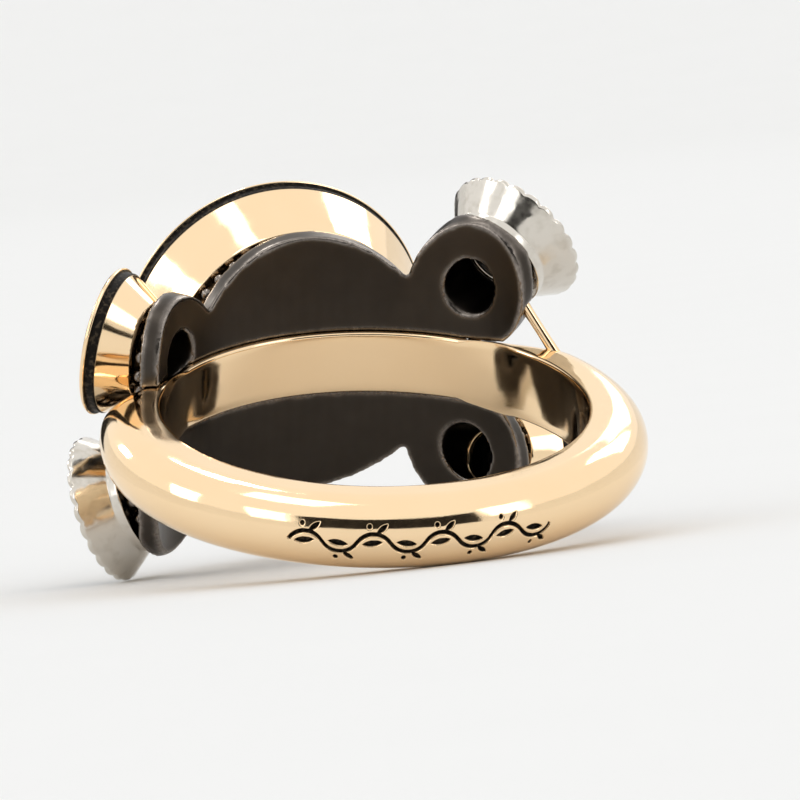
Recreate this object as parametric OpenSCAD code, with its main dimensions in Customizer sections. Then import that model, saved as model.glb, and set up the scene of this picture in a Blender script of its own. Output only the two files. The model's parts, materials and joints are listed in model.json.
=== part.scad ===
// Finger ring with a domed cluster head of round black stones, lying on its side.
// Every piece is drawn as the ring is worn: finger hole along Z, head towards +Y, engraved
// ornament towards -Y. lay_down() then tips the ring until its back and the two low settings
// touch the table. All sizes are in millimetres.

/* [Band] */
// Inner diameter of the band, which is the finger size
bore_d = 16.5; // [16.2:0.1:16.8]
// Width of the band along the finger
band_w = 2.9; // [2.7:0.1:3.1]
// Thickness of the band at the back
band_t = 2.3; // [2.2:0.1:2.4]
// Thickness of the band under the middle of the head
strap_t = 0.7; // [0.6:0.05:0.75]

/* [Engraving] */
// Depth of the engraved ornament
engrave_depth = 0.18; // [0.1:0.02:0.24]
// Turn of the ornament's middle from the point opposite the head, in degrees
engrave_turn = -8.6; // [-12:0.2:12]
// Length of each half wave of the engraved vine
wave_step = 1.3; // [1.2:0.02:1.36]

/* [Small settings] */
// Outer radius of the rim of each small setting
rim_r = 2.92; // [2.8:0.02:3]
// Height of each small setting from base to rim
cup_h = 1.73; // [1.65:0.01:1.8]
// Radius of each small setting at its base
cup_base_r = 1.95; // [1.85:0.05:2.05]
// Girdle radius of the small stones
small_stone_r = 2.5; // [2.4:0.02:2.52]
// Number of scallops around the rim of each collet
scallops = 24; // [18:1:30]

/* [Centre setting] */
// Outer radius of the centre bezel's rim
bezel_r = 6.3; // [6.1:0.05:6.4]
// Height of the centre bezel from base to rim
bezel_h = 3; // [2.8:0.05:3.1]
// Radius of the centre bezel at its base
bezel_base_r = 5.2; // [5:0.05:5.3]
// Girdle radius of the centre stone
centre_stone_r = 5.5; // [5.3:0.05:5.55]

/* [Head frame] */
// Thickness of the plate that hugs the finger
plate_t = 0.8; // [0.75:0.05:0.9]
// Radius of each bead under the settings
bead_r = 0.25; // [0.2:0.01:0.28]
// Distance from one bead to the next
bead_step = 0.74; // [0.7:0.02:0.9]

/* [Hidden] */
$fn = 64;

// Clearance between one piece and the next
gap = 0.03;
bore_r = bore_d / 2;
band_r = bore_r + band_t;
// The domed outside of the band is a half circle of this radius about this radius of the ring
dome_r = band_w / 2;
dome_at = band_r - dome_r;
// A larger domed disc, shifted towards the back, thins the band towards the head. It meets
// the full band at this angle from the middle of the head. Under the head a low domed strap
// goes on round.
full_until = 68;
thin_shift = 5.5;
thin_r = norm([band_r * sin(full_until), band_r * cos(full_until) + thin_shift]);
strap_w = 2.5;
strap_dome_r = 2;

// Small settings. Columns: side (-1 left, 1 right), angle of the rim's centre round the ring
// from the middle of the head, height above the band's middle, turn of the setting's axis
// from the middle of the head, and tilt of that axis above the ring's plane
SIDE = 0;
ROUND = 1;
HEIGHT = 2;
TURN = 3;
TILT = 4;
upper_left = [-1, 46.3, 2.14, 51.7, 5.7];
lower_left = [-1, 48.4, -4.82, 57.6, -24.1];
upper_right = [1, 48.4, 4.82, 57.6, 24.1];
lower_right = [1, 48.4, -4.82, 57.6, -24.1];
// Distance of every small rim's centre from the ring's axis
rim_at = bore_r + 3.25;

// Parts of a small setting
lip_h = 0.25;
neck_h = 0.28;
neck_depth = 0.14;
edge_r = 0.06;
floor_t = 0.3;
light_hole_r = 1.05;
flange_h = 0.35;
flange_out = 0.18;
notch_r = 0.24;
notch_depth = 0.1;

// Posts and plate of the head frame
post_r = 1.5;
centre_post_r = 4.7;
pad_r = 2.45;
centre_pad_r = 5.3;
plate_in = bore_r + 0.2;
plate_out = plate_in + plate_t;
bezel_at = bore_r + 1.15;

// Height of each girdle above the setting's base, and the stones' proportions
small_girdle_at = 1.38;
centre_girdle_at = 2.6;
seat_drop = 0.2;
centre_seat_drop = 0.3;

function rim_centre(s) =
    [s[SIDE] * rim_at * sin(s[ROUND]), rim_at * cos(s[ROUND]), s[HEIGHT]];
function axis_of(s) =
    [s[SIDE] * sin(s[TURN]) * cos(s[TILT]), cos(s[TURN]) * cos(s[TILT]), sin(s[TILT])];
function base_centre(s) = rim_centre(s) - cup_h * axis_of(s);

// The table touches the ring where its depth along the table's normal is greatest. For a tilt
// t of the ring these are that depth at the band's back and at a low setting's rim.
function floor_normal(t) = [0, sin(t), cos(t)];
function band_depth(t) = dome_at * sin(t) + dome_r;
function rim_depth(t, s) =
    rim_r * sqrt(1 - pow(floor_normal(t) * axis_of(s), 2)) - floor_normal(t) * rim_centre(s);
function settle(low, high, steps) =
    let (mid = (low + high) / 2)
    steps == 0 ? mid
    : rim_depth(mid, lower_left) > band_depth(mid) ? settle(mid, high, steps - 1)
    : settle(low, mid, steps - 1);
rest_tilt = settle(0, 45, 24);
rest_height = band_depth(rest_tilt);
front_y = (bezel_at + bezel_h) * cos(rest_tilt) + bezel_r * sin(rest_tilt);
back_y = dome_at * cos(rest_tilt) + dome_r;
rest_shift = (back_y - front_y) / 2;

rose_gold = [0.93, 0.76, 0.58];
white_metal = [0.72, 0.7, 0.67];
blackened = [0.13, 0.12, 0.11];
black_stone = [0.04, 0.04, 0.05];

module lay_down() {
    translate([0, rest_shift, rest_height]) rotate([rest_tilt, 0, 0]) children();
}

// Puts a piece drawn along +Z on a small setting, its origin at the middle of the base
module on_setting(s) {
    translate(base_centre(s))
        rotate([0, 90 - s[TILT], atan2(axis_of(s)[1], axis_of(s)[0])])
            children();
}

// Puts a piece drawn along +Z on the middle of the head
module on_centre() {
    translate([0, bezel_at, 0]) rotate([-90, 0, 0]) children();
}

// Half of the band's cross-section seen as radius and height, taken in by a margin
module band_section(margin = 0) {
    translate([bore_r, -dome_r + margin])
        square([dome_at - bore_r, band_w - 2 * margin]);
    intersection() {
        translate([dome_at, 0]) circle(r = dome_r - margin);
        translate([bore_r, -dome_r + margin]) square([band_t + 1, band_w - 2 * margin]);
    }
}

module thinning_disc(margin) {
    translate([0, -thin_shift, 0])
        rotate_extrude($fn = 180) {
            translate([0, margin - dome_r]) square([thin_r - dome_r, band_w - 2 * margin]);
            intersection() {
                translate([thin_r - dome_r, 0]) circle(r = dome_r - margin);
                translate([0, margin - dome_r]) square([thin_r + 1, band_w - 2 * margin]);
            }
        }
}

module strap(margin) {
    rotate_extrude($fn = 180)
        intersection() {
            translate([bore_r + strap_t - strap_dome_r, 0]) circle(r = strap_dome_r - margin);
            translate([bore_r, margin - strap_w / 2]) square([band_t, strap_w - 2 * margin]);
        }
}

module plain_band(margin = 0) {
    intersection() {
        rotate_extrude($fn = 180) band_section(margin);
        thinning_disc(margin);
    }
    strap(margin);
}

// One half wave of the vine's stem, swelling towards its crest
module stem() {
    half_turn = 60;
    r = wave_step / 2 / sin(half_turn);
    translate([0, -r * cos(half_turn)])
        intersection() {
            difference() {
                circle(r = r + 0.06);
                translate([0, -0.06]) circle(r = r - 0.04);
            }
            polygon([[0, 0], [3 * sin(half_turn), 1.5], [-3 * sin(half_turn), 1.5]]);
        }
}

// A pointed leaf along +X
module leaf(long, wide) {
    bow = (long * long / 4 + wide * wide / 4) / wide;
    intersection() {
        translate([long / 2, bow - wide / 2]) circle(r = bow);
        translate([long / 2, wide / 2 - bow]) circle(r = bow);
    }
}

// One half wave of the vine, its crest up: the stem, a leaf under the crest, a leaf and a bud
// above it
module half_wave() {
    stem();
    translate([-0.44, -0.05]) rotate(8) leaf(0.78, 0.24);
    translate([0.12, 0.38]) rotate(38) leaf(0.52, 0.19);
    translate([-0.16, 0.62]) circle(r = 0.09);
}

// Stands a flat figure up on the back of the band, out along the radius, at a distance s
// along the band from the middle of the ornament
module on_back(s) {
    rotate([0, 0, engrave_turn + s / band_r * 180 / PI])
        translate([0, -band_r - 1, 0])
            rotate([-90, 0, 0])
                linear_extrude(2.2)
                    mirror([0, 1, 0]) children();
}

module ornament() {
    half_waves = 8;
    for (i = [0 : half_waves - 1])
        on_back((i - (half_waves - 1) / 2) * wave_step)
            mirror([0, i % 2, 0]) half_wave();
}

// Only the skin of the band, as deep as the engraving
module engraving() {
    intersection() {
        ornament();
        difference() {
            rotate_extrude($fn = 180) band_section(-0.3);
            plain_band(engrave_depth);
        }
    }
}

// A round wire between two points, grown all round by a margin
module wire(a, b, r, margin) {
    along = b - a;
    translate(a)
        rotate([0, acos(along[2] / norm(along)), atan2(along[1], along[0])])
            translate([0, 0, -margin])
                cylinder(r = r + margin, h = norm(along) + 2 * margin, $fn = 24);
}

// Two gold wires that run from the band and meet in a fork beside a collet's post
module fork(margin = 0) {
    wire_r = 0.24;
    knob_r = 0.29;
    band_out = [-8.88, 3.41, -0.95];
    band_in = [-6.02, 6.53, -0.6];
    meet = [-7.55, 4.87, -3.4];
    wire(band_out, meet, wire_r, margin);
    wire(band_in, meet, wire_r, margin);
    translate(meet) sphere(r = knob_r + margin, $fn = 24);
}

module both_forks(margin = 0) {
    fork(margin);
    rotate([0, 180, 0]) fork(margin);
}

module band() {
    color(rose_gold) lay_down() difference() {
        union() {
            plain_band();
            both_forks();
        }
        engraving();
    }
}

// Beads in a ring about +Z, where their centres pass a test on height when laid on a setting
module bead_ring(ring_r, at) {
    count = floor(2 * PI * ring_r / bead_step);
    for (i = [0 : count - 1])
        rotate([0, 0, i * 360 / count]) translate([ring_r, 0, at]) sphere(r = bead_r, $fn = 24);
}

module post(r, depth) {
    translate([0, 0, -depth]) cylinder(r = r, h = depth - gap);
}

module head_frame() {
    post_depth = 2.4;
    centre_depth = 2.8;
    bead_drop = 0.34;
    color(blackened) lay_down() difference() {
        union() {
            intersection() {
                difference() {
                    cylinder(r = plate_out, h = 16, center = true, $fn = 180);
                    cylinder(r = plate_in - 0.1, h = 18, center = true, $fn = 180);
                }
                union() {
                    for (s = [upper_left, lower_left, upper_right, lower_right])
                        on_setting(s) post(pad_r, 3.4);
                    on_centre() post(centre_pad_r, 5);
                }
            }
            for (s = [upper_left, lower_left, upper_right, lower_right]) on_setting(s) {
                post(post_r, post_depth);
                bead_ring(post_r + 0.2, -bead_drop);
            }
            on_centre() {
                post(centre_post_r, centre_depth);
                bead_ring(centre_post_r + 0.2, -bead_drop);
            }
        }
        cylinder(r = plate_in, h = 20, center = true, $fn = 180);
        plain_band(-gap);
        both_forks(gap);
        for (s = [upper_left, lower_left, upper_right, lower_right])
            on_setting(s) translate([0, 0, -4]) cylinder(r = light_hole_r, h = 5);
    }
}

// Outline of a setting's wall as radius and height: tapered outside with a thin lip, over a
// narrow neck where one is given, and inside a pocket with a ledge under the stone
module wall_section(rim, base, h, pocket, ledge_at, hole, neck) {
    under_lip = neck > 0
        ? [[rim - neck, h - lip_h - neck_h], [rim - neck, h - lip_h], [rim, h - lip_h + neck / 2]]
        : [[rim, h - lip_h]];
    polygon(concat(
        [[hole, 0], [base, 0]],
        under_lip,
        [
            [rim, h - edge_r],
            [rim - edge_r, h],
            [pocket + edge_r, h],
            [pocket, h - edge_r],
            [pocket, ledge_at],
            [pocket - 0.3, ledge_at],
            [base - 0.4, floor_t],
            [hole, floor_t]
        ]));
}

// Turn about a setting's axis of the point of its rim that is nearest the table
function low_turn(s) =
    let (turn = atan2(axis_of(s)[1], axis_of(s)[0]), down = -floor_normal(rest_tilt))
    atan2(down * [-sin(turn), cos(turn), 0],
          down * [sin(s[TILT]) * cos(turn), sin(s[TILT]) * sin(turn), -cos(s[TILT])]);

module cup() {
    rotate_extrude($fn = 96)
        wall_section(rim_r, cup_base_r, cup_h, small_stone_r + gap, small_girdle_at - seat_drop,
                     light_hole_r, neck_depth);
}

module collet() {
    difference() {
        rotate_extrude($fn = 96) {
            wall_section(rim_r, cup_base_r, cup_h, small_stone_r + gap,
                         small_girdle_at - seat_drop, light_hole_r, 0);
            translate([cup_base_r - 0.2, 0]) square([0.2 + flange_out, flange_h]);
        }
        // The collet that rests on the table stands on a lobe, not in a notch
        for (i = [0 : scallops - 1])
            rotate([0, 0, low_turn(lower_left) + (i + 0.5) * 360 / scallops])
                translate([rim_r, 0, cup_h + notch_r - notch_depth])
                    rotate([0, 90, 0])
                        cylinder(r = notch_r, h = 1.2, center = true, $fn = 24);
    }
}

module centre_wall() {
    rotate_extrude($fn = 128)
        wall_section(bezel_r, bezel_base_r, bezel_h, centre_stone_r + gap,
                     centre_girdle_at - centre_seat_drop, light_hole_r, neck_depth);
}

// Round cut stone with its girdle at height 0: a table and a row of kite facets above, long
// facets and a small flat below. The kites are flat because their side corners lie on the
// line from the table's corner to the girdle.
module cut_stone(r, table_r, crown_h, girdle_h, pavilion_h, culet_r) {
    sides = 8;
    step = 360 / sides;
    side_r = (table_r + r) / 2 * 1.04;
    side_z = crown_h * (r - side_r * cos(step / 2)) / (r - table_r);
    function ring(radius, count, turn, z) =
        [for (i = [0 : count - 1])
            [radius * cos(turn + i * 360 / count), radius * sin(turn + i * 360 / count), z]];
    points = concat(
        ring(table_r, sides, 0, girdle_h / 2 + crown_h),
        ring(side_r, sides, step / 2, girdle_h / 2 + side_z),
        ring(r, 2 * sides, 0, girdle_h / 2),
        ring(r, 2 * sides, 0, -girdle_h / 2),
        ring(culet_r, sides, 0, -girdle_h / 2 - pavilion_h));
    hull() polyhedron(points = points, faces = [[for (i = [0 : len(points) - 1]) i]]);
}

module small_stone(s) {
    color(black_stone) lay_down() on_setting(s)
        translate([0, 0, small_girdle_at]) cut_stone(small_stone_r, 1.4, 0.6, 0.1, 0.85, 0.45);
}

module cup_upper_left() { color(rose_gold) lay_down() on_setting(upper_left) cup(); }
module collet_lower_left() { color(white_metal) lay_down() on_setting(lower_left) collet(); }
module collet_upper_right() { color(white_metal) lay_down() on_setting(upper_right) collet(); }
module cup_lower_right() { color(rose_gold) lay_down() on_setting(lower_right) cup(); }
module bezel_centre() { color(rose_gold) lay_down() on_centre() centre_wall(); }
module stone_centre() {
    color(black_stone) lay_down() on_centre()
        translate([0, 0, centre_girdle_at])
            cut_stone(centre_stone_r, 3.1, 1.3, 0.16, 1.95, 0.8);
}
module stone_upper_left() { small_stone(upper_left); }
module stone_lower_left() { small_stone(lower_left); }
module stone_upper_right() { small_stone(upper_right); }
module stone_lower_right() { small_stone(lower_right); }

band();
head_frame();
cup_upper_left();
collet_lower_left();
collet_upper_right();
cup_lower_right();
bezel_centre();
stone_centre();
stone_upper_left();
stone_lower_left();
stone_upper_right();
stone_lower_right();
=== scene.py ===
"""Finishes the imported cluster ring: carves the band, turns the settings, casts the head frame,
sets its beads, laps the stones, gives every metal and stone its surface and sets up a pale
studio."""

import json
import math
from collections import namedtuple

import bmesh
import bpy
import numpy as np
from mathutils import Matrix, Vector


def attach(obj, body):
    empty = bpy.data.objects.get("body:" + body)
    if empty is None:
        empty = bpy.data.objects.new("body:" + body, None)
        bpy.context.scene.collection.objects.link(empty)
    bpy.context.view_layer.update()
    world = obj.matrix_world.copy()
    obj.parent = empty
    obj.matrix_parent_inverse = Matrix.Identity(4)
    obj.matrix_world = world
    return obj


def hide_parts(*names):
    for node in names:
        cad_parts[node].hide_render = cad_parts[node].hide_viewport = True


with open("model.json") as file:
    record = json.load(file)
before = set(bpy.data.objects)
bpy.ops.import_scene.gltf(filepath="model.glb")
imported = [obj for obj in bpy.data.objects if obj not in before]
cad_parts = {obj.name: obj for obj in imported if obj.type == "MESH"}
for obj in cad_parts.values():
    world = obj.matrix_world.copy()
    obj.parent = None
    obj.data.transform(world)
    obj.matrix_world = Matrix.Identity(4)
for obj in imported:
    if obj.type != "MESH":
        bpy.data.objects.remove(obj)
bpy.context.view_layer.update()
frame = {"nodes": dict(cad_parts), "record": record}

bl_info = {
    "name": "Cluster ring",
    "version": (1, 0, 0),
    "blender": (4, 5, 0),
    "location": "View3D > Sidebar > Cluster ring",
    "description": "Builds the visual model of a cluster ring with round black stones",
    "category": "Add Mesh",
}

MM = 0.001
BODY = "root"

# The finger hole's mount says where the lying ring is and how far it leans
HOLE = frame["record"]["mounts"][0]
HOLE_CENTRE = Vector(HOLE["pos_m"])
LEAN = math.atan2(-HOLE["axis"][1], HOLE["axis"][2])
HOLE_RADIUS = HOLE["dims"]["r_mm"] * MM
BAND_WIDTH = HOLE["dims"]["length_mm"] * MM
LAY_DOWN = Matrix.Translation(HOLE_CENTRE) @ Matrix.Rotation(LEAN, 4, "X")

# Where each small setting stands: side (-1 left, 1 right), angle of the rim's centre round the
# ring from the middle of the head, height over the band's middle, turn and tilt of its axis
Setting = namedtuple("Setting", "side round height turn tilt")
SETTINGS = {
    "upper_left": Setting(-1, 46.3, 2.14, 51.7, 5.7),
    "lower_left": Setting(-1, 48.4, -4.82, 57.6, -24.1),
    "upper_right": Setting(1, 48.4, 4.82, 57.6, 24.1),
    "lower_right": Setting(1, 48.4, -4.82, 57.6, -24.1),
}
CUPS = {"cup_upper_left": "upper_left", "cup_lower_right": "lower_right"}
COLLETS = {"collet_lower_left": "lower_left", "collet_upper_right": "upper_right"}

# A setting's wall cut through: radii of rim, base, pocket and light hole, heights of wall and ledge
Wall = namedtuple("Wall", "rim base height pocket ledge hole")
# More of the wall, in millimetres: its lip, the neck below that, the lip's crown and the floor
LIP, NECK, NECK_DEPTH, CROWN, FLOOR = 0.25, 0.28, 0.14, 0.13, 0.3
# How far the flange round the foot of a collet stands out
FLANGE = 0.18
# How far beyond the seat of its stone a wall's outside begins
OUTSIDE = 0.1

# A leaf of the vine, in millimetres from the middle of its half wave
Leaf = namedtuple("Leaf", "x y turn length width")
LEAVES = (Leaf(-0.44, -0.05, 8, 0.78, 0.24), Leaf(0.12, 0.38, 38, 0.52, 0.19))

# A studio lamp: turn from the ring's back and rise in degrees, width and height in metres, and
# how bright a mirror shows it, white paper being 1
Lamp = namedtuple("Lamp", "turn rise width height brightness")
LAMPS = {
    "overhead_softbox": Lamp(-60, 76, 0.24, 0.24, 1.8),
    "left_strip": Lamp(-58, 25, 0.2, 0.3, 1.5),
    "right_strip": Lamp(38, 25, 0.2, 0.3, 1.5),
    "head_softbox": Lamp(140, 35, 0.2, 0.2, 1.8),
    "shoulder_softbox_right": Lamp(117, 38, 0.16, 0.26, 3.0),
    "shoulder_softbox_left": Lamp(262, 28, 0.16, 0.26, 3.0),
    "head_spark_left": Lamp(214, 32, 0.08, 0.1, 14.0),
    "head_spark_high": Lamp(178, 66, 0.1, 0.14, 14.0),
}
LAMP_DISTANCE = 0.7
AIR_STRENGTH = 1.03
# The two turns, in degrees, between which each black card stands, and the rises of them all
CARDS = {"back": (-45, 25), "head": (172, 190)}
CARD_RISES = (3, 32)
CARD_DISTANCE = 0.5


def linear(hex_colour):
    """An sRGB hex colour as linear RGBA."""
    values = [int(hex_colour[i : i + 2], 16) / 255 for i in (0, 2, 4)]
    return [v / 12.92 if v <= 0.04045 else ((v + 0.055) / 1.055) ** 2.4 for v in values] + [1.0]


def length(name, description, default):
    """A property for a size, given and kept in metres."""
    return bpy.props.FloatProperty(
        name=name, description=description, default=default, unit="LENGTH", precision=5
    )


def angle(name, description, degrees):
    """A property for an angle, given in degrees."""
    return bpy.props.FloatProperty(
        name=name, description=description, default=math.radians(degrees), subtype="ANGLE"
    )


def colour(name, description, default):
    """A property for an sRGB hex colour."""
    return bpy.props.StringProperty(name=name, description=description, default=default)


class BandSizes(bpy.types.PropertyGroup):
    """Sizes of the gold band."""

    bore_radius: length("Finger radius", "Radius of the finger hole", HOLE_RADIUS)
    width: length("Width", "Width of the band along the finger", BAND_WIDTH)
    thickness: length("Thickness", "Thickness of the band at the back", 2.3 * MM)
    strap_thickness: length("Strap", "Thickness of the band under the head", 0.7 * MM)
    strap_width: length("Strap width", "Width of the band under the head", 2.5 * MM)
    edge_radius: length("Edge", "Rounding of the finger hole's edges", 0.14 * MM)
    full_until: angle("Full until", "Angle from the middle of the head where the band is full", 68)
    carve_depth: length("Carving", "Depth of the engraved vine", 0.18 * MM)
    carve_turn: angle("Vine turn", "Turn of the vine's middle from the point opposite the head", -8.6)
    wave_step: length("Half wave", "Length of each half wave of the vine", 1.3 * MM)
    half_waves: bpy.props.IntProperty(
        name="Half waves", description="Number of half waves in the vine", default=8, min=2
    )
    wire_radius: length("Fork wire", "Radius of the forked wires", 0.24 * MM)


class SettingSizes(bpy.types.PropertyGroup):
    """Sizes of the turned settings and of the beads below them."""

    rim_radius: length("Small rim", "Outer radius of each small setting's rim", 2.92 * MM)
    base_radius: length("Small base", "Radius of each small setting at its base", 1.95 * MM)
    height: length("Small height", "Height of each small setting", 1.73 * MM)
    pocket_radius: length("Small pocket", "Radius of the seat of each small stone", 2.53 * MM)
    ledge: length("Small ledge", "Height of the ledge under each small stone", 1.18 * MM)
    bezel_radius: length("Bezel rim", "Outer radius of the centre bezel's rim", 6.3 * MM)
    bezel_base: length("Bezel base", "Radius of the centre bezel at its base", 5.2 * MM)
    bezel_height: length("Bezel height", "Height of the centre bezel", 3.0 * MM)
    bezel_pocket: length("Bezel pocket", "Radius of the centre stone's seat", 5.53 * MM)
    bezel_ledge: length("Bezel ledge", "Height of the ledge under the centre stone", 2.3 * MM)
    bezel_at: length("Bezel distance", "From the ring's axis to the bezel's base", 9.4 * MM)
    rim_distance: length("Rim distance", "From the ring's axis to each small rim", 11.5 * MM)
    light_hole: length("Light hole", "Radius of the hole behind each stone", 1.05 * MM)
    scallops: bpy.props.IntProperty(
        name="Scallops", description="Number of scallops round each collet", default=24, min=12
    )
    scallop_depth: length("Scallop depth", "Depth of the notches in a collet's rim", 0.1 * MM)
    bead_radius: length("Bead", "Radius of each bead under the settings", 0.25 * MM)
    bead_step: length("Bead step", "Distance from one bead to the next", 0.74 * MM)
    bead_drop: length("Bead drop", "From a setting's base down to its beads", 0.34 * MM)
    small_row: length("Small row", "Radius of the row of beads under a small setting", 1.7 * MM)
    centre_row: length("Centre row", "Radius of the row of beads under the bezel", 4.9 * MM)


class Finishes(bpy.types.PropertyGroup):
    """Colours of the metals, the stones and the studio, as sRGB hex values."""

    rose_gold: colour("Rose gold", "Polished rose gold", "FDE0B7")
    white_metal: colour("White metal", "Polished white metal", "D9D3C9")
    rubbed_silver: colour("Rubbed silver", "High spots of the blackened silver", "A39A92")
    blackening: colour("Blackening", "Even black of the blackened silver", "4A443E")
    # Patina also stands for painted shade, in the head frame's recesses and in the neck under each
    # setting's lip
    patina: colour("Patina", "Black patina in cuts and recesses", "17130F")
    stone: colour("Stone", "Body colour of the black stones", "08080A")
    carbon: colour("Carbon", "Carbon specks in the black stones", "4A4A4E")
    floor: colour("Floor", "Pale floor of the studio", "F2F2F1")
    card: colour("Card", "Black paper that the metals mirror", "14110E")
    air: colour("Air", "Even light from all round", "FFFFFF")


def world_matrix_of(setting, sizes):
    """Place of a small setting, whose piece is drawn along +Z from the middle of its base."""
    around_ring, turn, tilt = (math.radians(v) for v in (setting.round, setting.turn, setting.tilt))
    rim = Vector(
        (
            setting.side * sizes.rim_distance * math.sin(around_ring),
            sizes.rim_distance * math.cos(around_ring),
            setting.height * MM,
        )
    )
    axis = Vector(
        (
            setting.side * math.sin(turn) * math.cos(tilt),
            math.cos(turn) * math.cos(tilt),
            math.sin(tilt),
        )
    )
    base = rim - axis * sizes.height
    turn_out = Matrix.Rotation(math.atan2(axis.y, axis.x), 4, "Z")
    return LAY_DOWN @ Matrix.Translation(base) @ turn_out @ Matrix.Rotation(math.pi / 2 - tilt, 4, "Y")


def centre_matrix(sizes):
    """Place of the centre setting, drawn along +Z from the middle of its base."""
    upright = Matrix.Rotation(-math.pi / 2, 4, "X")
    return LAY_DOWN @ Matrix.Translation((0, sizes.bezel_at, 0)) @ upright


def new_object(name, data):
    """An object in the scene that holds a mesh, a lamp or a camera."""
    obj = bpy.data.objects.new(name, data)
    bpy.context.scene.collection.objects.link(obj)
    return obj


def plain_mesh(obj):
    """Makes the evaluated object's mesh its own, with no modifiers left."""
    evaluated = obj.evaluated_get(bpy.context.evaluated_depsgraph_get())
    mesh = bpy.data.meshes.new_from_object(evaluated)
    old = obj.data
    obj.modifiers.clear()
    obj.data = mesh
    bpy.data.meshes.remove(old)


def close_seams(mesh, distance=1e-7):
    """Welds doubles and turns every face outwards."""
    bm = bmesh.new()
    bm.from_mesh(mesh)
    bmesh.ops.remove_doubles(bm, verts=bm.verts, dist=distance)
    bmesh.ops.dissolve_degenerate(bm, edges=bm.edges, dist=distance)
    bmesh.ops.recalc_face_normals(bm, faces=bm.faces)
    bm.to_mesh(mesh)
    bm.free()


def drop_crumbs(mesh):
    """Keeps the shell that reaches highest and drops the closed crumbs that a remesher leaves."""
    bm = bmesh.new()
    bm.from_mesh(mesh)
    top = max(bm.verts, key=lambda v: v.co.z)
    shell, to_follow = {top}, [top]
    while to_follow:
        for edge in to_follow.pop().link_edges:
            for vertex in edge.verts:
                if vertex not in shell:
                    shell.add(vertex)
                    to_follow.append(vertex)
    bmesh.ops.delete(bm, geom=[v for v in bm.verts if v not in shell], context="VERTS")
    bm.to_mesh(mesh)
    bm.free()


def strips(rows, columns, ring):
    """Quads between rows of points that follow each other, each row a closed ring or open."""
    return [
        (r * columns + k, (r + 1) * columns + k, (r + 1) * columns + n, r * columns + n)
        for r in range(rows - 1)
        for k, n in ((k, (k + 1) % columns) for k in range(columns if ring else columns - 1))
    ]


def smooth_object(name, vertices, faces, material):
    """A smoothly shaded object of one material."""
    mesh = bpy.data.meshes.new(name)
    mesh.from_pydata(vertices, [], faces)
    mesh.shade_smooth()
    mesh.materials.append(material)
    return new_object(name, mesh)


def add(tree, kind, inputs=None, **settings):
    """Adds a node to a tree, with its settings and with its inputs set or linked. A node that is
    given as an input stands for the first of its outputs that is in use."""
    node = tree.nodes.new(kind)
    node.location = (len(tree.nodes) * 190, (len(tree.nodes) % 3) * -160)
    for name, value in settings.items():
        setattr(node, name, value)
    for name, value in (inputs or {}).items():
        if isinstance(value, bpy.types.Node):
            value = next(output for output in value.outputs if output.enabled)
        if isinstance(value, bpy.types.NodeSocket):
            tree.links.new(value, node.inputs[name])
        else:
            node.inputs[name].default_value = value
    return node


def new_material(name):
    """A new material and its node tree, which is empty."""
    material = bpy.data.materials.new(name)
    material.use_nodes = True
    material.node_tree.nodes.clear()
    return material, material.node_tree


# Patterns are scaled in cells to the millimetre, such as 2 / MM for patches 0.5 mm across


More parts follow.
